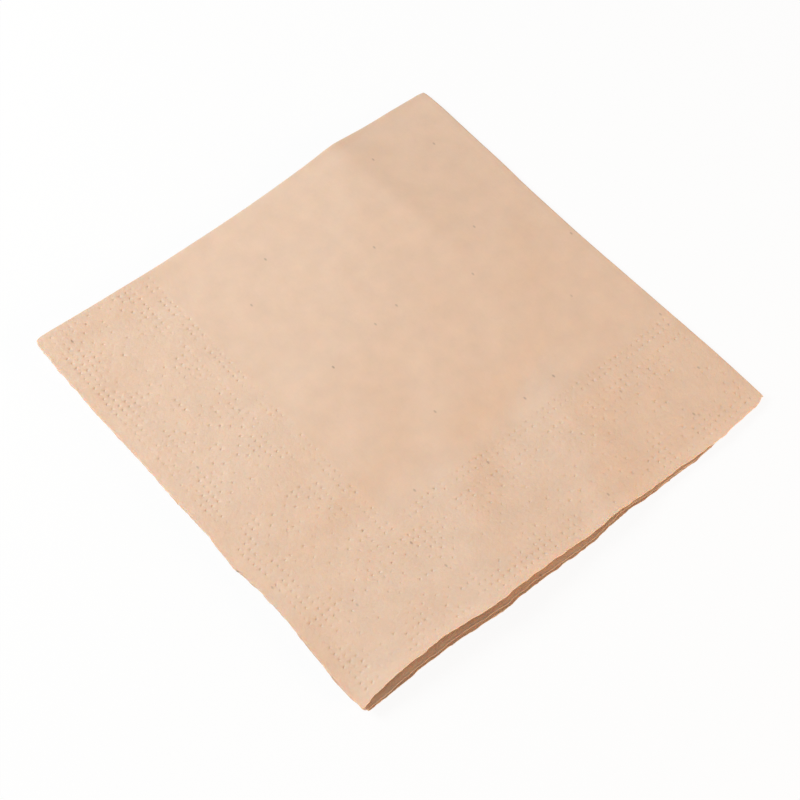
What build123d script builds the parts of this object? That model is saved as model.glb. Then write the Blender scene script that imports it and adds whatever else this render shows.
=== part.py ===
import math
import os

from build123d import *

# The sheet is 330 mm square before folding, so the folded square is 165 mm
folded_side = 165.0
leaf = 0.3

# Air inside the first fold, and between the two folded pairs
fold_gap = 0.15
middle_gap = 0.2

# The folds are a little out of true
upper_overhang = 1.6
inner_lip = 0.7

# Share of a pair's height that is pressed flat at the tip of the first fold
crease_flat = 0.42

# How much of the top leaf's rise the leaf below it takes, and the third leaf
second_share = 0.62
third_share = 0.28

# The pressed second fold holds the leaves down over this width
pressed_width = 26.0

# Swells of the springy upper leaves: distances in from the side, reach, length and rise
near_swell_in = 21.0
near_swell_reach = 24.0
near_swell_length = 31.0
near_swell_rise = 3.8
front_swell_in = 61.0
front_swell_reach = 32.0
front_swell_length = 27.0
front_swell_rise = 3.9
side_swell_in = 78.0
side_swell_reach = 30.0
side_swell_length = 34.0
side_swell_rise = 2.4
left_swell_reach = 32.0
left_swell_length = 60.0
left_swell_rise = 3.6
ridge_in = 42.5
ridge_reach = 18.0
ridge_length = 42.0
ridge_rise = 2.8
fold_side_rise = 1.4
open_side_rise = 0.4

# Embossed border along the open sides: a grid of pressed dots with lozenges in it,
# and a double line of dots on its inner side
dot_pitch = 2.4
dot_size = 1.0
first_column_in = 4.7
first_row_in = 3.2
press_depth = 0.1
lozenge_reach = 4
lozenge_first = 7
lozenge_step = 8
double_line = (15, 16)

# The two folded pairs, the turn between them and the bend of the first fold
half = folded_side / 2
stack = 4 * leaf + 2 * fold_gap + middle_gap
turn_radius = stack / 2
bend_radius = leaf + fold_gap / 2
turn_x = half - turn_radius
bend_y = half - bend_radius

# Sections stand closer than half the narrowest swell
section_step = ridge_reach / 2
points_across = 12

# A line of dots is one dot wide, so a lozenge's outline reaches this far each way along its diagonal
line_reach = dot_size / math.sqrt(2)

# Faces this close to the turn's end sections are the seams between the three lengths
seam_reach = leaf / 100


def bell(distance, reach):
    """A soft swell: 1 at its crest, fading out over about twice its reach."""
    return math.exp(-((distance / reach) ** 2))


def openness(y):
    """0 at the first fold and 1 at the open side, where the leaves part."""
    return (bend_y - y) / (bend_y + half)


def rise(x, y):
    """How far the top leaf springs up above its pressed place."""
    from_left = x + half
    from_turn = half - x
    from_front = y + half
    from_back = half - y
    near = near_swell_rise * bell(from_left - near_swell_in, near_swell_reach)
    near *= bell(from_front, near_swell_length)
    front = front_swell_rise * bell(from_left - front_swell_in, front_swell_reach)
    front *= bell(from_front, front_swell_length)
    side = side_swell_rise * bell(from_left, side_swell_length)
    side *= bell(from_front - side_swell_in, side_swell_reach)
    left = left_swell_rise * bell(from_left, left_swell_reach) * bell(from_back, left_swell_length)
    ridge = ridge_rise * bell(from_turn - ridge_in, ridge_reach) * bell(from_back, ridge_length)
    body = fold_side_rise + (open_side_rise - fold_side_rise) * openness(y)
    spring = near + front + side + left + ridge + body
    held = min(1.0, (turn_x - x) / pressed_width)
    return spring * held * held * (3 - 2 * held)


def top_leaf(x, y):
    return stack - leaf / 2 + rise(x, y)


def second_leaf(x, y):
    share = 1 - (1 - second_share) * openness(y)
    return stack - 1.5 * leaf - fold_gap + share * rise(x, y)


def third_leaf(x, y):
    return 1.5 * leaf + fold_gap + third_share * openness(y) * rise(x, y)


def bottom_leaf(x, y):
    return leaf / 2


def leaf_line(x, height, edge, offset):
    """Points along one face of a leaf, from its open edge to the first fold."""
    step = (bend_y - edge) / (points_across - 1)
    return [(edge + i * step, height(x, edge + i * step) + offset) for i in range(points_across)]


def crease(first, second):
    """The two corners of the pressed bend between a pair's outer faces."""
    middle = (first[1] + second[1]) / 2
    flat = crease_flat * (first[1] - middle)
    return (half, middle + flat), (half, middle - flat)


def pair_outline(x, outer, inner, out):
    """Outline of a pair of leaves cut across at x; out is 1 where the outer leaf is on top."""
    outer_outside = leaf_line(x, outer, inner_lip - half, out * leaf / 2)
    outer_inside = leaf_line(x, outer, inner_lip - half, -out * leaf / 2)
    inner_outside = leaf_line(x, inner, -half, -out * leaf / 2)
    inner_inside = leaf_line(x, inner, -half, out * leaf / 2)
    Spline(*outer_outside)
    Polyline(outer_outside[-1], *crease(outer_outside[-1], inner_outside[-1]), inner_outside[-1])
    Spline(*reversed(inner_outside))
    Line(inner_outside[0], inner_inside[0])
    Spline(*inner_inside)
    middle = (inner_inside[-1][1] + outer_inside[-1][1]) / 2
    Polyline(inner_inside[-1], (bend_y + fold_gap / 2, middle), outer_inside[-1])
    Spline(*reversed(outer_inside))
    Line(outer_inside[0], outer_outside[0])


def sections(start):
    """Places of the sections from the open edge at start to the second fold."""
    count = math.ceil((turn_x - start) / section_step)
    return [start + (turn_x - start) * i / count for i in range(count + 1)]


def column_in(index):
    """Distance of a column of dots from the leaf's cut edge, along X."""
    return first_column_in + index * dot_pitch


def row_in(index):
    """Distance of a row of dots from the leaf's cut edge, along Y."""
    return first_row_in + index * dot_pitch


def pressed_border(edge_x, edge_y):
    """Sketch the lozenges and the double line of the leaf whose cut edges are given."""
    end_x = turn_x - dot_size
    end_y = bend_y - dot_size
    last = int((folded_side - first_column_in) / dot_pitch)
    centres = range(lozenge_first, last, lozenge_step)
    spots = [(edge_x + column_in(lozenge_first), edge_y + row_in(i)) for i in centres]
    spots += [(edge_x + column_in(i), edge_y + row_in(lozenge_first)) for i in centres[1:]]
    with Locations(*spots):
        RegularPolygon(lozenge_reach * dot_pitch + line_reach, 4)
    with Locations(*spots):
        RegularPolygon(lozenge_reach * dot_pitch - line_reach, 4, mode=Mode.SUBTRACT)
    for index in double_line:
        x = edge_x + column_in(index)
        y = edge_y + row_in(index)
        with Locations((x, (y + end_y) / 2)):
            Rectangle(dot_size, end_y - y + dot_size)
        with Locations(((x + end_x) / 2, y)):
            Rectangle(end_x - x + dot_size, dot_size)
    with Locations(((edge_x + end_x) / 2, (edge_y + end_y) / 2)):
        Rectangle(end_x - edge_x, end_y - edge_y, mode=Mode.INTERSECT)


# Lower pair, whose outer leaf lies flat and has the border on its underside
with BuildPart() as lower_pair:
    for x in sections(upper_overhang - half):
        with BuildSketch(Plane.YZ.offset(x)):
            with BuildLine():
                pair_outline(x, bottom_leaf, third_leaf, -1)
            make_face()
    loft()
    with BuildSketch(Plane.XY.offset(-leaf)):
        pressed_border(upper_overhang - half, inner_lip - half)
    extrude(amount=leaf + press_depth, mode=Mode.SUBTRACT)

# The space over the top leaf, down to the floor of its pressed border
headroom = 2 * folded_side
with BuildPart() as border_press:
    for x in sections(-half):
        floor = leaf_line(x, top_leaf, -half, leaf / 2 - press_depth)
        with BuildSketch(Plane.YZ.offset(x)):
            with BuildLine():
                Spline(*floor)
                Polyline(floor[-1], (bend_y, headroom), (-half, headroom), floor[0])
            make_face()
    loft()
    with BuildSketch():
        pressed_border(-half, inner_lip - half)
    extrude(amount=folded_side, mode=Mode.INTERSECT)

# Upper pair, which springs up in soft swells and has the border on its top
with BuildPart() as upper_pair:
    for x in sections(-half):
        with BuildSketch(Plane.YZ.offset(x)):
            with BuildLine():
                pair_outline(x, top_leaf, second_leaf, 1)
            make_face()
    loft()
    add(border_press.part, mode=Mode.SUBTRACT)

# Second fold, which turns the lower pair over into the upper one
with BuildPart() as turn:
    with BuildSketch(Plane.YZ.offset(turn_x)):
        with BuildLine():
            pair_outline(turn_x, top_leaf, second_leaf, 1)
        make_face()
    revolve(axis=Axis((turn_x, 0, turn_radius), (0, 1, 0)), revolution_arc=180)

# The three lengths meet at equal sections, so their outer walls close into one solid
walls = lower_pair.faces() + upper_pair.faces() + turn.faces()
seams = walls.filter_by_position(Axis.X, turn_x - seam_reach, turn_x + seam_reach)

# The bottom leaf lies on the table with a true plane
underside = lower_pair.faces().sort_by(Axis.Z)[0]
flat = Face(underside.outer_wire(), underside.inner_wires())
walls = walls - seams - [underside] + [flat]

with BuildPart() as napkin:
    add(Solid(Shell(walls)))

napkin.part.label = "napkin"
os.makedirs("parts", exist_ok=True)
export_step(napkin.part, "parts/napkin.step")
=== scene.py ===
"""A square paper napkin folded in quarters, with a pressed border of dots, lying on a pale table."""
import math

import bmesh
import bpy
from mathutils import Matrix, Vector, noise


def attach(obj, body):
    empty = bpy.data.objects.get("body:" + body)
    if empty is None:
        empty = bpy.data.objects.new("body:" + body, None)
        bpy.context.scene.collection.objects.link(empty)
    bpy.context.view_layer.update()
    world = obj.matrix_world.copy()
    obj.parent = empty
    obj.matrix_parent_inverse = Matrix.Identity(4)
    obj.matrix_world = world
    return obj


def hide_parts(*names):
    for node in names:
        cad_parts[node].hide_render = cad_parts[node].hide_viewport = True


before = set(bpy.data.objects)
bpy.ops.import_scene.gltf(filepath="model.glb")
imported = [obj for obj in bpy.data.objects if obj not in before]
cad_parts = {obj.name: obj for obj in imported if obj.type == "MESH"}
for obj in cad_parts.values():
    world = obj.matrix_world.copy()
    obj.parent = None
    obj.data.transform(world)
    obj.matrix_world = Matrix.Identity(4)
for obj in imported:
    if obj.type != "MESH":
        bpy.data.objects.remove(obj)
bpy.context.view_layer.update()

# Lengths are in millimetres until they are laid in the scene.
MM = 0.001

# The folded napkin: +X is the second fold, +Y the first one, and the open corner lies at -X, -Y.
HALF = 82.5                     # half of the folded side
LEAF = 0.3                      # thickness of a leaf
FOLD_GAP = 0.15                 # between the two leaves of a pair
MIDDLE_GAP = 0.2                # between the upper pair and the lower pair
OVERHANG = 1.6                  # how far the upper pair stands out over the lower one, at -X
INNER_LIP = 0.7                 # how far the inner leaves stand out under the outer ones, at -Y
STACK = 4 * LEAF + 2 * FOLD_GAP + MIDDLE_GAP
TURN_RADIUS = STACK / 2
TURN_X = HALF - TURN_RADIUS
BEND_RADIUS = (LEAF + FOLD_GAP) / 2
BEND_Y = HALF - LEAF - FOLD_GAP / 2
PRESSED_WIDTH = 26.0            # width over which the second fold holds the leaves down
SECOND_HELD = 0.38              # share of the swells that the leaf under the top one lacks at the open side
THIRD_SHARE = 0.28              # and the share that the third leaf takes there
SHARP_ANGLE = 50.0              # sharper edges than this, in degrees, are shaded as edges

# The flat sheet, measured from its cut edges.
SHEET = 330.0
MID_SHEET = SHEET / 2
DOT_PITCH = 2.4
FIRST_COLUMN = 4.7              # from the cut edge to the first column of dots, across the sheet
FIRST_ROW = 3.2                 # and to the first row, along it
ROWS = 67                       # rows of dots to a folded side
FOLD_ZONE = 2.4                 # width of the flat sheet that goes into a fold
FOLD_STEPS = 6
FOLD_START = (SHEET - FOLD_ZONE) / 2
EDGE_SHARES = (0.0, 0.3, 0.65)  # grid lines between the cut edge and the first dot's cell

# A pressed dot.
DOT_ROOM = 0.7                  # half of the square that a dot takes up in its cell
DOT_RADIUS = 0.57
DOT_DEPTH = 0.165
NEAR_ENOUGH = 0.01              # two places this close are the same one
SLOW_FIRMNESS = 1.3             # how unevenly the dots are pressed from place to place
SLOW_FIRMNESS_WIDTH = 11.0
DOT_FIRMNESS = 1.5              # and from dot to dot
DOT_FIRMNESS_STEP = 3.7
LEAST_FIRMNESS = 0.15
MOST_FIRMNESS = 1.8
RIM_FIRMNESS = 0.12             # share of a dot's depth that its rim has
DOT_SHIFT = 0.45                # how far a dot may lie out of line
DOT_SHIFT_STEP = 2.3
DOT_SEED = 1                    # keeps the shifts the same in every run
PUFF = 0.07                     # how far the paper between the dots stands up

# The border: lozenges of dots in a band along the cut edges, then a double line.
BAND = 14                       # rows of the band
LINE_ROWS = (15, 16)
LOZENGE_STEP = 8
LOZENGE_FIRST = 7
LOZENGE_HEART = 1               # steps from a lozenge's middle to the edge of its heart
LOZENGE_LINE = 4                # to its line of dots
LOZENGE_CLEAR = 6               # and to the dots outside it
BORDER_WIDTH = 45.0

# Swells of the springy upper leaves: distance in from the side, reach, length and rise.
NEAR_SWELL_IN = 21.0
NEAR_SWELL_REACH = 24.0
NEAR_SWELL_LENGTH = 31.0
NEAR_SWELL_RISE = 3.8
FRONT_SWELL_IN = 61.0
FRONT_SWELL_REACH = 32.0
FRONT_SWELL_LENGTH = 27.0
FRONT_SWELL_RISE = 3.9
SIDE_SWELL_IN = 78.0
SIDE_SWELL_REACH = 30.0
SIDE_SWELL_LENGTH = 34.0
SIDE_SWELL_RISE = 2.4
LEFT_SWELL_REACH = 32.0
LEFT_SWELL_LENGTH = 60.0
LEFT_SWELL_RISE = 3.6
RIDGE_IN = 42.6
RIDGE_REACH = 18.0
RIDGE_LENGTH = 42.0
RIDGE_RISE = 2.0
OPEN_SIDE_RISE = 0.4
SPRING = 0.5                    # how far the upper pair springs up all over, beside its swells

# Cockles of the paper: height, width and the layer of the noise that they are taken from.
BROAD_COCKLE = (0.30, 19.0, 3.0)
MIDDLING_COCKLE = (0.14, 9.0, 5.0)
FINE_COCKLE = (0.06, 5.0, 8.0)
PLAIN_SHARE = 0.7               # share of the finer cockles that the paper inside the border has
HELD_SHARE = 0.25               # share of all cockles that is left at the second fold

# How far the soft folds bend out of line, as two rows like those of the cockles.
FOLD_BEND_X = (2.4, 21.0, 12.0)
FOLD_BEND_Y = (2.4, 21.0, 15.0)

# The crest left by the hand along the fold side: its ends, height, and how far it falls off on its two sides.
CREST = ((45, 28), (41, 86), 0.9, 13, 6)
CREST_ROUND = 1.6               # half width of the crest's rounded top
CREST_FADE = 16.0               # how far it runs on past its ends

# Soft folds of the upper pair: middle, heading in degrees, length, width and height. A program fitted
# these rows to the photo's shading.
SOFT_FOLDS = (
    (-31, 4, 23, 42, 16, 0.89),
    (8, -42, 33, 45, 7, -0.59),
    (-55, 58, 33, 46, 18, -0.6),
    (20, -74, 71, 54, 10.5, 1.25),
    (-77, -49, 12, 49, 13.5, 1.2),
    (65, -56, 86, 56, 23, -0.6),
    (-17, -53, 61, 42, 9, 1.25),
    (-68, -1, 91, 56, 11.5, -0.6),
    (54, 67, 96, 48, 12, -0.6),
    (-76, -36, 58, 56, 13.5, 0.92),
    (-59, 70, 4, 28, 7, -0.6),
    (13, -31, 3, 41, 7.5, -0.6),
    (20, 27, 90, 55, 19, 1.15),
    (59, 77, 29, 32, 16.5, -0.6),
    (-60, -73, 1, 52, 8, -0.6),
    (-19, -7, 76, 56, 18, 0.9),
    (69, -29, 93, 53, 13, -0.6),
    (-45, -22, 19, 29, 8.5, 1.05),
    (64, 80, 179, 55, 3.5, -0.6),
    (77, 25, 39, 31, 10, 1.1),
)

# How far out each edge lies from a true square, as pairs of a place along the edge and the distance.
TOP_FRONT = (
    (-82.5, 0.2), (-78, -0.45), (-72, -0.75), (-60, -0.75), (-52, -0.7), (-45, 0.0), (-38, 0.95), (-30, 1.6),
    (-20, 1.45), (-10, 1.55), (0, 1.9), (8, 2.2), (15, 1.9), (21, 1.8), (30, 2.25), (40, 2.25), (50, 2.6),
    (60, 3.05), (66, 2.75), (75, 2.2), (80, 1.5), (82.5, 0.8))
LOWER_FRONT = (
    (-82.5, 0.3), (-70, 0.4), (-60, 0.2), (-52, 0.4), (-45, 0.7), (-40, 1.3), (-35, 1.8), (-30, 2.2),
    (-25, 2.0), (-20, 1.9), (-10, 2.2), (0, 2.5), (8, 2.4), (14, 1.9), (22, 1.6), (30, 2.2), (40, 2.3),
    (50, 2.6), (55, 2.5), (60, 1.8), (70, 1.2), (80, 0.2))
LEFT_EDGE = (
    (-82.5, 1.15), (-75, 1.45), (-68, 1.65), (-60, 1.2), (-50, 0.85), (-40, 0.5), (-32, 0.55), (-22, 1.55),
    (-15, 1.5), (-10, 1.05), (0, 1.05), (10, 1.2), (25, 0.9), (35, 1.05), (50, 1.35), (60, 1.3), (72, 1.2),
    (82.5, 0.9))
TURN_EDGE = (
    (-82.5, 0.4), (-75, 0.6), (-60, 0.65), (-40, 0.35), (-20, 0.0), (0, -0.35), (20, -0.35), (30, -0.15),
    (40, 0.25), (60, 0.5), (72, 0.75), (82.5, 0.55))
BACK_EDGE = (
    (-82.5, 0.05), (-45, 0.25), (-30, 0.2), (-15, 0.1), (0, 0.0), (15, 0.05), (30, 0.15), (45, 0.75),
    (60, 1.0), (75, 0.9), (82.5, 0.7))
EDGE_REACH = 30.0               # how far into the sheet an edge's pull is felt
FRONT_REACH = 45.0
RAGGED = 0.3                    # slow unevenness of the cut edges
RAGGED_LENGTH = 3.1
RAGGED_REACH = 2.0
RAGGED_LAYER = 0.5
TORN = 0.14                     # short torn fibres along them
TORN_LENGTH = 0.8
TORN_REACH = 0.5
TORN_LAYER = 7.5
CORNER_RADIUS = 2.6
OPEN_CORNER_RADIUS = 1.5        # the corner where all the cut edges meet is sharper

# Finish of the paper. Tones are shares of its colour, and places on the sheet are in millimetres.
PALE_PAPER = (0.757, 0.569, 0.447, 1)
WARM_PAPER = (0.739, 0.547, 0.424, 1)
PIT_DARKENING_AND_SHADE = (0.012, 0.020, 0.030)  # what a firmly pressed dot takes from red, green and blue: the pressed paper's own darkening, and painted shade in its pit
TONE = 1.03
CLOUD_TONE = 0.10
BLOTCH_TONE = 0.09
GRAIN_TONE = 0.06
FIBRE_TONE = 0.04
FLECK_TONE = 0.55
LIP_HIGHLIGHT_TONE = 0.06
FOLD_PALE_TONE = 0.06
RIM_SHADE_TONE = 0.14
LIP_HIGHLIGHT_REACH = (1.0, 6.5)           # from the outer leaves' cut edge, where the painted highlight along their lip fades
RIM = (0.9, 0.2)                # from the inner leaves' cut edge, where the painted shade on their rims starts and ends
FOLD_PALE_REACH = (0.8, 2.4)          # from the second fold, where its paler strip fades
FLECK_SIZE = (0.006, 0.022)
FIRM_PRESS = (0.1, 0.8)         # how firmly a dot is pressed before it darkens, and to its darkest
BORDER_FADE = (41.0, 47.0)      # from the cut edges, where the border's pucker ends
THIN_EDGE = (0.8, 2.6)          # from the cut edges, where the paper is thinner
CREPE_STRETCH = (0.5, 2.6, 1.0)
FIBRE_STRETCH = (1.5, 0.45, 1.0)
FLECK_STRETCH = (1.0, 0.55, 1.0)
GRAIN_RELIEF = 0.4
CREPE_RELIEF = 0.3
FIBRE_RELIEF = 0.2
CLOUD_RELIEF = 0.6
BLOTCH_RELIEF = 1.6
DOT_RELIEF = 1.5
PUCKER_RELIEF = 3.0
BUMP_HEIGHT = 0.12
ROUGHNESS = 0.88
ROUGHNESS_CHANGE = 0.12
BODY_DEPTH = 0.25               # how far light goes into the paper
EDGE_DEPTH = 0.5                # and into its thinner cut edges

# The table, in metres, and how it looks.
TABLE_REACH = 3.0               # from its middle to its edge
TABLE_DROP = 0.02 * MM          # clearance under the napkin
CARD = (0.86, 0.86, 0.86, 1)
CAMERA_WHITE = 0.92             # share of plain white in what the camera sees of the table

# The camera at the photograph's viewing angle.
CAMERA_TURN = -40.56            # in degrees
CAMERA_TILT = 58.62
CAMERA_DISTANCE = 625.2
CAMERA_AIM = (-6.98, -8.95, 3.0)
CAMERA_LENS = 88.54
CAMERA_SENSOR = 36
CAMERA_NEAREST = 0.01           # in metres


def grid_lines(first_dot):
    """Places of the flat grid's lines from cut edge to cut edge, with each dot in a cell of its own."""
    first_cell = first_dot - DOT_PITCH / 2
    cells = int((FOLD_START - first_cell) / DOT_PITCH)
    inward = [first_cell * share for share in EDGE_SHARES]
    inward += [first_cell + number * DOT_PITCH for number in range(cells + 1)]
    fold = [FOLD_START + FOLD_ZONE * number / FOLD_STEPS for number in range(FOLD_STEPS + 1)]
    return inward + fold + [SHEET - place for place in reversed(inward)]


def row_of(distance, first_dot):
    """Number of the row of dots nearest to a flat distance from either cut edge."""
    return round((min(distance, SHEET - distance) - first_dot) / DOT_PITCH)


def row_centre(row, distance, first_dot):
    """Flat distance of that row's centre, on the same side of the fold as distance."""
    inward = first_dot + row * DOT_PITCH
    return inward if distance < MID_SHEET else SHEET - inward


def dot_at(across, along):
    """True where the border has a dot in these rows, counted from the two cut edges."""
    if not (0 <= across < ROWS and 0 <= along < ROWS):
        return False
    inward = min(across, along)
    if inward in LINE_ROWS:
        return True
    if inward >= BAND:
        return False
    steps = min(
        abs(across - middle_x) + abs(along - middle_y)
        for middle_x, middle_y in lozenges_near(across, along)
    )
    return steps <= LOZENGE_HEART or steps == LOZENGE_LINE or steps >= LOZENGE_CLEAR


def lozenges_near(across, along):
    """Centres of the lozenges in the two arms of the border, next to this dot."""
    far = max(across, along)
    nearest = LOZENGE_FIRST + LOZENGE_STEP * round((far - LOZENGE_FIRST) / LOZENGE_STEP)
    for step in (-LOZENGE_STEP, 0, LOZENGE_STEP):
        middle = nearest + step
        if LOZENGE_FIRST <= middle < ROWS:
            yield (LOZENGE_FIRST, middle)
            yield (middle, LOZENGE_FIRST)


def bell(distance, reach):
    """A soft swell: 1 at its crest, fading out over about twice its reach."""
    return math.exp(-((distance / reach) ** 2))


def swell(x, y):
    """Height that the top leaf springs up by."""
    from_left = x + HALF
    from_turn = HALF - x
    from_front = y + HALF
    from_back = HALF - y
    near = NEAR_SWELL_RISE * bell(from_left - NEAR_SWELL_IN, NEAR_SWELL_REACH)
    near *= bell(from_front, NEAR_SWELL_LENGTH)
    front = FRONT_SWELL_RISE * bell(from_left - FRONT_SWELL_IN, FRONT_SWELL_REACH)
    front *= bell(from_front, FRONT_SWELL_LENGTH)
    side = SIDE_SWELL_RISE * bell(from_left, SIDE_SWELL_LENGTH)
    side *= bell(from_front - SIDE_SWELL_IN, SIDE_SWELL_REACH)
    left = LEFT_SWELL_RISE * bell(from_left, LEFT_SWELL_REACH) * bell(from_back, LEFT_SWELL_LENGTH)
    ridge = RIDGE_RISE * bell(from_turn - RIDGE_IN, RIDGE_REACH) * bell(from_back, RIDGE_LENGTH)
    body = OPEN_SIDE_RISE + from_front / (2 * HALF)
    return (near + front + side + left + ridge + body) * held_down(x)


def held_down(x):
    """0 where the second fold holds the leaves together, and 1 away from it."""
    share = max(0.0, min(1.0, (TURN_X - x) / PRESSED_WIDTH))
    return share * share * (3 - 2 * share)


def rolling(x, y, form):
    """Smooth noise of the height, width and layer that form gives."""
    height, width, layer = form
    return height * noise.noise(Vector((x / width, y / width, layer)))


def cockle(x, y):
    """Small unevenness of the paper, the same for leaves that lie on each other."""
    finer = rolling(x, y, MIDDLING_COCKLE) + rolling(x, y, FINE_COCKLE)
    in_border = 1 if min(x, y) + HALF < BORDER_WIDTH else PLAIN_SHARE
    return (rolling(x, y, BROAD_COCKLE) + in_border * finer) * (HELD_SHARE + (1 - HELD_SHARE) * held_down(x))


def soft_folds(x, y):
    """Height of the long soft folds that handling left in the upper pair."""
    x += rolling(x, y, FOLD_BEND_X)
    y += rolling(x, y, FOLD_BEND_Y)
    height = SPRING
    start, end, rise, light_fall, dark_fall = CREST
    run_x, run_y = end[0] - start[0], end[1] - start[1]
    length = math.hypot(run_x, run_y)
    along = ((x - start[0]) * run_x + (y - start[1]) * run_y) / length
    aside = ((x - start[0]) * run_y - (y - start[1]) * run_x) / length
    fall = light_fall if aside > 0 else dark_fall
    crest = math.exp((CREST_ROUND - math.hypot(aside, CREST_ROUND)) / fall)
    height += rise * crest * bell(max(0.0, -along, along - length), CREST_FADE)
    for middle_x, middle_y, heading, long, wide, rise in SOFT_FOLDS:
        turn_x, turn_y = math.cos(math.radians(heading)), math.sin(math.radians(heading))
        along = (x - middle_x) * turn_x + (y - middle_y) * turn_y
        aside = (y - middle_y) * turn_x - (x - middle_x) * turn_y
        height += rise * bell(along, long) * bell(aside, wide)
    return height * held_down(x)


def heights(x, y, upper):
    """Heights of the middles of a pair's outer and inner leaves."""
    open_share = (BEND_Y - y) / (BEND_Y + HALF)
    sprung = swell(x, y)
    if upper:
        uneven = cockle(x, y) + soft_folds(x, y)
        outer = STACK - LEAF / 2 + sprung + uneven
        inner = STACK - 1.5 * LEAF - FOLD_GAP + (1 - SECOND_HELD * open_share) * sprung + uneven
    else:
        outer = LEAF / 2
        inner = 1.5 * LEAF + FOLD_GAP + THIRD_SHARE * open_share * sprung
    return outer, inner


def wander(points, place):
    """Smooth line through pairs of a place along an edge and how far out the edge lies there."""
    places = [point[0] for point in points]
    offsets = [point[1] for point in points]
    after = next((number for number, at in enumerate(places) if at > place), len(places) - 1)
    after = max(after, 1)
    before = after - 1
    run = places[after] - places[before]
    share = max(0.0, min(1.0, (place - places[before]) / run))
    lean_in = slope_at(places, offsets, before) * run
    lean_out = slope_at(places, offsets, after) * run
    step = offsets[after] - offsets[before]
    bend_in = 3 * step - 2 * lean_in - lean_out
    bend_out = lean_in + lean_out - 2 * step
    return offsets[before] + share * (lean_in + share * (bend_in + share * bend_out))


def slope_at(places, offsets, number):
    """Slope of the line at one of its points, from the points beside it."""
    if number in (0, len(places) - 1):
        return 0.0
    return (offsets[number + 1] - offsets[number - 1]) / (places[number + 1] - places[number - 1])


def drift(x, y, top, inner):
    """How far the edges of a leaf pull a point in plan, out of a true square."""
    from_left, from_turn, from_front, from_back = x + HALF, HALF - x, y + HALF, HALF - y
    front = wander(TOP_FRONT if top and not inner else LOWER_FRONT, x) * bell(from_front, FRONT_REACH)
    left = wander(LEFT_EDGE, y) * bell(from_left, EDGE_REACH)
    turn = wander(TURN_EDGE, y) * bell(from_turn, EDGE_REACH)
    back = wander(BACK_EDGE, x) * bell(from_back, EDGE_REACH)
    right_pull = turn - left
    back_pull = back - front
    for side, other, pull_x, pull_y, radius in (
        (from_left, from_front, 1, 1, OPEN_CORNER_RADIUS), (from_left, from_back, 1, -1, CORNER_RADIUS),
        (from_turn, from_front, -1, 1, CORNER_RADIUS), (from_turn, from_back, -1, -1, CORNER_RADIUS),
    ):
        near_side = max(0.0, 1 - max(side, 0.0) / radius)
        near_other = max(0.0, 1 - max(other, 0.0) / radius)
        right_pull += pull_x * radius * near_side * (1 - math.sqrt(1 - near_other ** 2 / 2))
        back_pull += pull_y * radius * near_other * (1 - math.sqrt(1 - near_side ** 2 / 2))
    return right_pull, back_pull


def ragged(place, from_cut, leaf):
    """How far a cut edge stands out at a place along it, fading inwards."""
    slow = RAGGED * noise.noise(Vector((place / RAGGED_LENGTH, leaf, RAGGED_LAYER)))
    torn = TORN * noise.noise(Vector((place / TORN_LENGTH, leaf, TORN_LAYER)))
    return slow * bell(from_cut, RAGGED_REACH) + torn * bell(from_cut, TORN_REACH)


def folded(across, along, lift):
    """Where a point of the flat sheet lies once the napkin is folded.

    lift is how far the point stands out of the sheet.
    """
    upper = across < MID_SHEET
    turned = math.pi * max(0.0, min(1.0, (across - FOLD_START) / FOLD_ZONE))
    if across <= FOLD_START:
        x = -HALF + across * (TURN_X + HALF) / FOLD_START
    else:
        x = TURN_X - max(0.0, across - SHEET + FOLD_START) * (TURN_X + HALF - OVERHANG) / FOLD_START
    bent = math.pi * max(0.0, min(1.0, (along - FOLD_START) / FOLD_ZONE))
    if along <= FOLD_START:
        y = INNER_LIP - HALF + along * (BEND_Y + HALF - INNER_LIP) / FOLD_START
    else:
        y = BEND_Y - max(0.0, along - SHEET + FOLD_START) * (BEND_Y + HALF) / FOLD_START
    outer, inner = heights(x, y, upper or turned < math.pi)
    height = (outer + inner) / 2 + (outer - inner) / 2 * math.cos(bent)
    height += lift if upper else max(0.0, -lift)
    inner_leaf = along > MID_SHEET
    right, back = drift(x, y, upper, inner_leaf)
    leaf = 4 * upper + inner_leaf
    right -= ragged(y, min(across, SHEET - across), leaf + 0.5)
    back -= ragged(x, min(along, SHEET - along), leaf)
    if 0 < turned < math.pi:
        reach = height - TURN_RADIUS
        x += reach * math.sin(turned)
        # The turn stays on the table
        height = max(LEAF / 2, TURN_RADIUS + reach * math.cos(turned))
    return Vector((x + right, y + back + BEND_RADIUS * math.sin(bent), height)) * MM


def dot_near(x, y):
    """Place of the dot nearest to a point of the flat sheet, and its rows from the two cut edges."""
    across, along = row_of(x, FIRST_COLUMN), row_of(y, FIRST_ROW)
    return Vector((row_centre(across, x, FIRST_COLUMN), row_centre(along, y, FIRST_ROW), 0)), across, along


def press_dots(sheet):
    """Cuts a round dot of eight sides into each cell of the border, on the leaves that end up outside."""
    cells = []
    for face in sheet.faces:
        centre = face.calc_center_median()
        dot, across, along = dot_near(centre.x, centre.y)
        if centre.y < MID_SHEET and (centre - dot).length < NEAR_ENOUGH and dot_at(across, along):
            cells.append(face)
    sheet.normal_update()
    bmesh.ops.inset_individual(sheet, faces=cells, thickness=DOT_PITCH / 2 - DOT_ROOM, use_even_offset=True)
    edges = dict.fromkeys(edge for face in cells for edge in face.edges)
    bmesh.ops.subdivide_edges(sheet, edges=list(edges), cuts=1, use_grid_fill=True)
    cut_edges = [edge for edge in sheet.edges if edge.is_boundary]
    bmesh.ops.subdivide_edges(sheet, edges=cut_edges, cuts=2)


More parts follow.
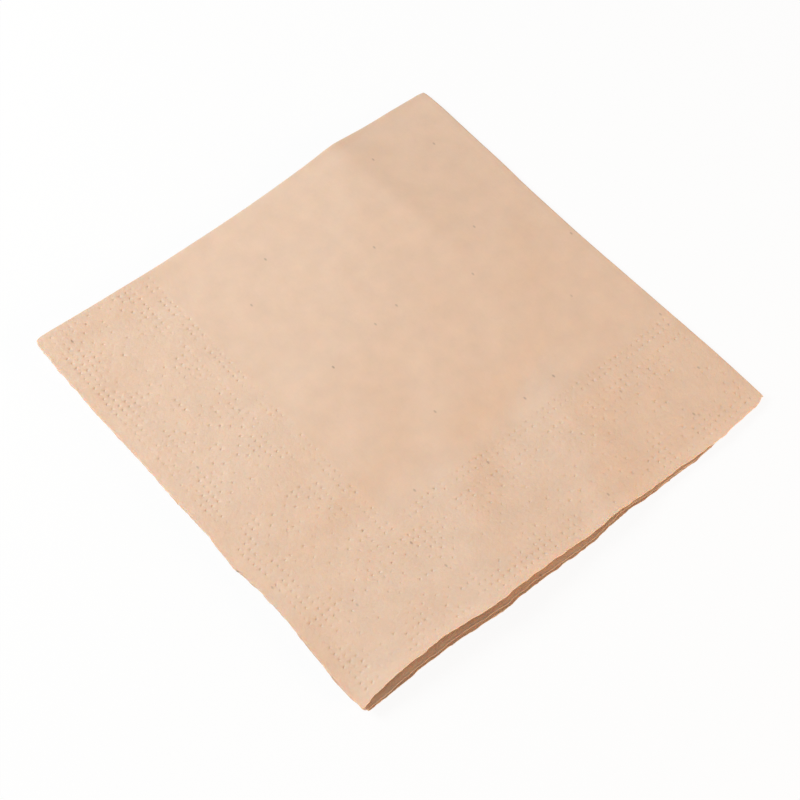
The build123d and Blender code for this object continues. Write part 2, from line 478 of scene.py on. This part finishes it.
def round_dots(sheet, pressed):
    """Rounds each dot's square to a circle, and notes how deeply each of its vertices is pressed."""
    noise.seed_set(DOT_SEED)
    for vertex in sheet.verts:
        x, y = vertex.co.x, vertex.co.y
        centre, across, along = dot_near(x, y)
        away = vertex.co - centre
        inside = max(abs(away.x), abs(away.y)) < DOT_ROOM + NEAR_ENOUGH
        if y > MID_SHEET or not inside or not dot_at(across, along):
            continue
        slow = SLOW_FIRMNESS * noise.noise(centre / SLOW_FIRMNESS_WIDTH)
        firmness = 1 + slow + DOT_FIRMNESS * noise.noise(centre * DOT_FIRMNESS_STEP)
        firmness = max(LEAST_FIRMNESS, min(MOST_FIRMNESS, firmness))
        shift = DOT_SHIFT * noise.noise_vector(centre * DOT_SHIFT_STEP)
        shift.z = 0
        if away.length < NEAR_ENOUGH:
            vertex.co = centre + shift
            vertex[pressed] = firmness
        else:
            vertex.co = centre + shift + away.normalized() * DOT_RADIUS
            vertex[pressed] = RIM_FIRMNESS * firmness


def puffed(across, along):
    """How far the paper stands up beside the dots: 0 among dots, and 1 where the border leaves it plain."""
    inward = min(min(across, SHEET - across), along)
    if along > MID_SHEET or inward > BORDER_WIDTH:
        return 0.0
    beside = 0
    for step_x in (-0.5, 0.5):
        for step_y in (-0.5, 0.5):
            row_x = row_of(across + step_x * DOT_PITCH, FIRST_COLUMN)
            row_y = row_of(along + step_y * DOT_PITCH, FIRST_ROW)
            beside += not dot_at(row_x, row_y)
    return beside / 4


def folded_napkin():
    """One sheet, gridded flat, pressed with the border, and folded twice."""
    sheet = bmesh.new()
    columns, rows = grid_lines(FIRST_COLUMN), grid_lines(FIRST_ROW)
    bmesh.ops.create_grid(sheet, x_segments=len(columns) - 1, y_segments=len(rows) - 1, size=0.5)
    pressed = sheet.verts.layers.float.new("pressed")
    for vertex in sheet.verts:
        vertex.co.x = columns[round((vertex.co.x + 0.5) * (len(columns) - 1))]
        vertex.co.y = rows[round((vertex.co.y + 0.5) * (len(rows) - 1))]
    press_dots(sheet)
    round_dots(sheet, pressed)
    flat_map = sheet.loops.layers.uv.new("flat")
    for face in sheet.faces:
        face.smooth = True
        for loop in face.loops:
            loop[flat_map].uv = (loop.vert.co.x / SHEET, loop.vert.co.y / SHEET)
    for vertex in sheet.verts:
        across, along = vertex.co.x, vertex.co.y
        lift = PUFF * puffed(across, along) - DOT_DEPTH * vertex[pressed]
        vertex.co = folded(across, along, lift)
    mesh = bpy.data.meshes.new("folded_napkin")
    sheet.to_mesh(mesh)
    sheet.free()
    piece = bpy.data.objects.new("folded_napkin", mesh)
    bpy.context.scene.collection.objects.link(piece)
    thickness = piece.modifiers.new("leaf", "SOLIDIFY")
    thickness.thickness = LEAF * MM
    thickness.offset = 0
    thickness.use_even_offset = True
    thickness.use_rim = True
    whole = bpy.data.meshes.new_from_object(piece.evaluated_get(bpy.context.evaluated_depsgraph_get()))
    piece.modifiers.clear()
    piece.data = whole
    whole.name = "folded_napkin"
    whole.set_sharp_from_angle(angle=math.radians(SHARP_ANGLE))
    return piece


class Wire:
    """A socket of a finish, on which ordinary operators add Math nodes."""

    def __init__(self, finish, socket):
        self.finish = finish
        self.socket = socket

    def maths(self, operation, first, second):
        return self.finish.node("Math", {"operation": operation}, {0: first, 1: second})

    def __add__(self, other):
        return self.maths("ADD", self, other)

    def __radd__(self, other):
        return self.maths("ADD", other, self)

    def __sub__(self, other):
        return self.maths("SUBTRACT", self, other)

    def __rsub__(self, other):
        return self.maths("SUBTRACT", other, self)

    def __mul__(self, other):
        return self.maths("MULTIPLY", self, other)

    def __rmul__(self, other):
        return self.maths("MULTIPLY", other, self)


class Finish:
    """A material and its nodes."""

    def __init__(self, name):
        self.material = bpy.data.materials.new(name)
        self.material.use_nodes = True
        self.tree = self.material.node_tree
        self.tree.nodes.clear()

    def node(self, kind, settings=None, sockets=None, out=0):
        """Adds a node of a kind, with its settings, then its sockets' values or wires.

        Returns one of its outputs, or the node itself where out is None.
        """
        made = self.tree.nodes.new("ShaderNode" + kind)
        for name, value in (settings or {}).items():
            setattr(made, name, value)
        for name, value in (sockets or {}).items():
            if isinstance(value, Wire):
                self.tree.links.new(value.socket, made.inputs[name])
            else:
                made.inputs[name].default_value = value
        return made if out is None else Wire(self, made.outputs[out])

    def nearest_cut(self, socket):
        """Distance from a place along one side of the flat sheet to the nearer cut edge."""
        place = Wire(self, socket)
        return place.maths("MINIMUM", place, SHEET - place)

    def stretched(self, place, stretch):
        """A place on the sheet, stretched so that the noise taken there becomes lines."""
        return self.node("VectorMath", {"operation": "MULTIPLY"}, {0: place, 1: stretch})

    def speckled(self, place, **sockets):
        """Noise taken at a place, with the values of its other sockets."""
        return self.node("TexNoise", None, {"Vector": place, **sockets})

    def growing(self, value, low, high):
        """0 up to low, 1 from high on, and a soft step between them."""
        return self.soft_step(value, low, high, 0.0, 1.0)

    def fading(self, value, low, high):
        """1 up to low, 0 from high on, and a soft step between them."""
        return self.soft_step(value, low, high, 1.0, 0.0)

    def soft_step(self, value, low, high, at_low, at_high):
        """at_low up to low, at_high from high on, and a soft step between them."""
        return self.node("MapRange", {"interpolation_type": "SMOOTHSTEP"}, {
            "Value": value, "From Min": low, "From Max": high, "To Min": at_low, "To Max": at_high})

    def surface(self, shader):
        """Leads a shader to the material's output and returns the material."""
        output = self.tree.nodes.new("ShaderNodeOutputMaterial")
        self.tree.links.new(shader.socket, output.inputs["Surface"])
        return self.material


def unbleached_paper():
    """Soft pale brown tissue with a cloudy formation, crepe lines, fibres and a few dark flecks."""
    paper = Finish("unbleached_paper")
    flat = paper.node("UVMap", {"uv_map": "flat"})
    on_sheet = paper.node("VectorMath", {"operation": "SCALE"}, {0: flat, "Scale": SHEET})
    crepe_lines = paper.stretched(on_sheet, CREPE_STRETCH)
    fibre_lines = paper.stretched(on_sheet, FIBRE_STRETCH)
    pressed = paper.node("Attribute", {"attribute_name": "pressed"}, out="Fac")

    # Where a point lies on the sheet
    place = paper.node("SeparateXYZ", None, {0: on_sheet}, out=None)
    from_cuts = [paper.nearest_cut(place.outputs[number]) for number in range(2)]
    place_across, place_along = Wire(paper, place.outputs[0]), Wire(paper, place.outputs[1])
    from_cut = from_cuts[0].maths("MINIMUM", from_cuts[0], from_cuts[1])
    # Painted highlight: the outer leaves are lighter along their front cut edge
    painted_lip_highlight = paper.fading(place_along, *LIP_HIGHLIGHT_REACH)
    from_fold = place_across - MID_SHEET
    from_fold = from_fold.maths("ABSOLUTE", from_fold, 0.0)
    # Painted shade on the inner leaves' cut rims, which lie under the top leaf
    shaded_inner_rim = paper.growing(place_along, SHEET - RIM[0], SHEET - RIM[1])
    # Paler in a narrow strip along the second fold
    paler_at_fold = paper.fading(from_fold, *FOLD_PALE_REACH)

    # The paper's formation, from broad clouds to fibres and flecks
    cloud = paper.speckled(on_sheet, Scale=0.13, Detail=4.0, Roughness=0.6)
    grain = paper.speckled(on_sheet, Scale=1.3, Detail=5.0, Roughness=0.65)
    crepe = paper.speckled(crepe_lines, Scale=0.9, Detail=3.0, Distortion=0.4)
    fibres = paper.speckled(fibre_lines, Scale=1.1, Detail=2.0, Distortion=1.2)
    long_specks = paper.stretched(on_sheet, FLECK_STRETCH)
    speck = paper.node("TexVoronoi", {"feature": "F1", "voronoi_dimensions": "2D"}, {
        "Vector": long_specks, "Scale": 0.045, "Randomness": 1.0})
    speck_depth = paper.speckled(on_sheet, Scale=0.05, Detail=1.0)
    fleck = paper.fading(speck, *FLECK_SIZE)
    blotch = paper.speckled(on_sheet, Scale=0.13, Detail=2.0, Roughness=0.5)

    # Its colour
    tone = TONE + (cloud - 0.5) * CLOUD_TONE + (blotch - 0.5) * BLOTCH_TONE
    tone = tone + (grain - 0.5) * GRAIN_TONE + (fibres - 0.5) * FIBRE_TONE
    pit = paper.growing(pressed, *FIRM_PRESS)
    tone = tone - fleck * speck_depth * FLECK_TONE
    # The tone takes a painted highlight on the outer lip, a paler strip at the fold and painted shade on the
    # inner rims
    tone = tone + painted_lip_highlight * LIP_HIGHLIGHT_TONE + paler_at_fold * FOLD_PALE_TONE - shaded_inner_rim * RIM_SHADE_TONE
    base = paper.node("Mix", {"data_type": "RGBA"}, {
        "Factor": cloud, "A": PALE_PAPER, "B": WARM_PAPER}, out="Result")
    toned = paper.node("VectorMath", {"operation": "SCALE"}, {0: base, "Scale": tone})
    # A firmly pressed dot is darker: partly the pressed paper's own tone, partly painted shade in its pit,
    # browner than grey
    pit_darkening_and_shade = paper.node("VectorMath", {"operation": "SCALE"}, {0: PIT_DARKENING_AND_SHADE, "Scale": pressed * pit})
    kept = paper.node("VectorMath", {"operation": "SUBTRACT"}, {0: (1.0, 1.0, 1.0), 1: pit_darkening_and_shade})
    colour = paper.node("VectorMath", {"operation": "MULTIPLY"}, {0: toned, 1: kept})

    # Its relief, which puckers in the border
    in_border = paper.fading(from_cut, *BORDER_FADE)
    pucker = paper.speckled(on_sheet, Scale=0.45, Detail=2.0, Roughness=0.6)
    relief = grain * GRAIN_RELIEF + crepe * CREPE_RELIEF + fibres * FIBRE_RELIEF + cloud * CLOUD_RELIEF
    relief = relief + blotch * BLOTCH_RELIEF - pressed * pit * DOT_RELIEF
    relief = relief + pucker * in_border * PUCKER_RELIEF
    bump = paper.node("Bump", None, {"Height": relief, "Strength": 0.5, "Distance": BUMP_HEIGHT * MM})

    # Light goes further into the thinner cut edges
    rough = ROUGHNESS + (grain - 0.5) * ROUGHNESS_CHANGE
    look = {"Base Color": colour, "Roughness": rough, "Normal": bump, "Specular IOR Level": 0.18,
            "Sheen Weight": 0.1, "Sheen Roughness": 0.5, "Subsurface Radius": (1.0, 0.55, 0.3)}
    body = paper.node("BsdfPrincipled", None, {
        **look, "Subsurface Weight": 0.4, "Subsurface Scale": BODY_DEPTH * MM})
    thin_edge = paper.node("BsdfPrincipled", None, {
        **look, "Subsurface Weight": 0.7, "Subsurface Scale": EDGE_DEPTH * MM})
    upper_cut = place_across.maths("MINIMUM", place_across, place_along)
    at_edge = paper.fading(upper_cut, *THIN_EDGE)
    shader = paper.node("MixShader", None, {0: at_edge, 1: body, 2: thin_edge})
    return paper.surface(shader)


def pale_table():
    """White card that stays white to the camera and keeps the napkin's soft shadow."""
    table = Finish("pale_table")
    card = table.node("BsdfDiffuse", None, {"Color": CARD})
    glow = table.node("Emission", None, {"Color": (1, 1, 1, 1), "Strength": 1.0})
    ray = table.node("LightPath", out="Is Camera Ray")
    shiny = table.node("LightPath", out="Is Glossy Ray")
    through = table.node("LightPath", out="Is Transmission Ray")
    shader = table.node("MixShader", None, {0: (ray + shiny + through) * CAMERA_WHITE, 1: card, 2: glow})
    return table.surface(shader)


def lay_table():
    """A plain table top, far wider than the view, just under the napkin."""
    top = bmesh.new()
    bmesh.ops.create_grid(top, x_segments=1, y_segments=1, size=TABLE_REACH)
    bmesh.ops.translate(top, verts=top.verts, vec=(0, 0, -TABLE_DROP))
    mesh = bpy.data.meshes.new("table_top")
    top.to_mesh(mesh)
    top.free()
    table = bpy.data.objects.new("table_top", mesh)
    mesh.materials.append(pale_table())
    bpy.context.scene.collection.objects.link(table)
    return table


def soft_light(name, spot, size, power, colour):
    """A square soft box at spot, turned to the napkin."""
    lamp = bpy.data.lights.new(name, "AREA")
    lamp.size = size
    lamp.energy = power
    lamp.color = colour
    holder = bpy.data.objects.new(name, lamp)
    holder.location = spot
    holder.rotation_euler = (-Vector(spot)).to_track_quat("-Z", "Y").to_euler()
    bpy.context.scene.collection.objects.link(holder)


def room_light(strength, colour):
    """Even light from all round. The camera sees white where it looks past the table."""
    world = bpy.data.worlds.new("studio")
    world.use_nodes = True
    tree = world.node_tree
    white = tree.nodes["Background"]
    white.inputs["Color"].default_value = (1, 1, 1, 1)
    white.inputs["Strength"].default_value = 1.0
    room = tree.nodes.new("ShaderNodeBackground")
    room.inputs["Color"].default_value = (*colour, 1)
    room.inputs["Strength"].default_value = strength
    rays = tree.nodes.new("ShaderNodeLightPath")
    seen = rays.outputs["Is Camera Ray"]
    for kind in ("Is Glossy Ray", "Is Transmission Ray"):
        either = tree.nodes.new("ShaderNodeMath")
        either.operation = "MAXIMUM"
        tree.links.new(seen, either.inputs[0])
        tree.links.new(rays.outputs[kind], either.inputs[1])
        seen = either.outputs[0]
    mix = tree.nodes.new("ShaderNodeMixShader")
    tree.links.new(seen, mix.inputs[0])
    tree.links.new(room.outputs[0], mix.inputs[1])
    tree.links.new(white.outputs[0], mix.inputs[2])
    tree.links.new(mix.outputs[0], tree.nodes["World Output"].inputs["Surface"])
    bpy.context.scene.world = world


def photo_camera():
    """The camera at the photograph's viewing angle."""
    turn, tilt = math.radians(CAMERA_TURN), math.radians(CAMERA_TILT)
    back = Vector((math.sin(turn) * math.cos(tilt), -math.cos(turn) * math.cos(tilt), math.sin(tilt)))
    aim = Vector(CAMERA_AIM) * MM
    lens = bpy.data.cameras.new("photo_camera")
    lens.sensor_width = CAMERA_SENSOR
    lens.lens = CAMERA_LENS
    lens.clip_start = CAMERA_NEAREST
    camera = bpy.data.objects.new("photo_camera", lens)
    camera.location = aim + back * CAMERA_DISTANCE * MM
    camera.rotation_euler = (-back).to_track_quat("-Z", "Y").to_euler()
    bpy.context.scene.collection.objects.link(camera)
    bpy.context.scene.camera = camera


napkin = folded_napkin()
napkin.data.materials.append(unbleached_paper())
table = lay_table()

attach(napkin, "root")
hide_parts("napkin")

photo_camera()
soft_light("window", spot=(-0.54, 0.60, 0.52), size=0.42, power=10.3, colour=(0.90, 0.98, 1.0))
soft_light("warm_card", spot=(0.30, -0.68, 0.21), size=0.4, power=4.4, colour=(1.0, 0.67, 0.38))
room_light(0.30, (1.0, 0.90, 0.82))
bpy.context.scene.view_settings.view_transform = "Standard"
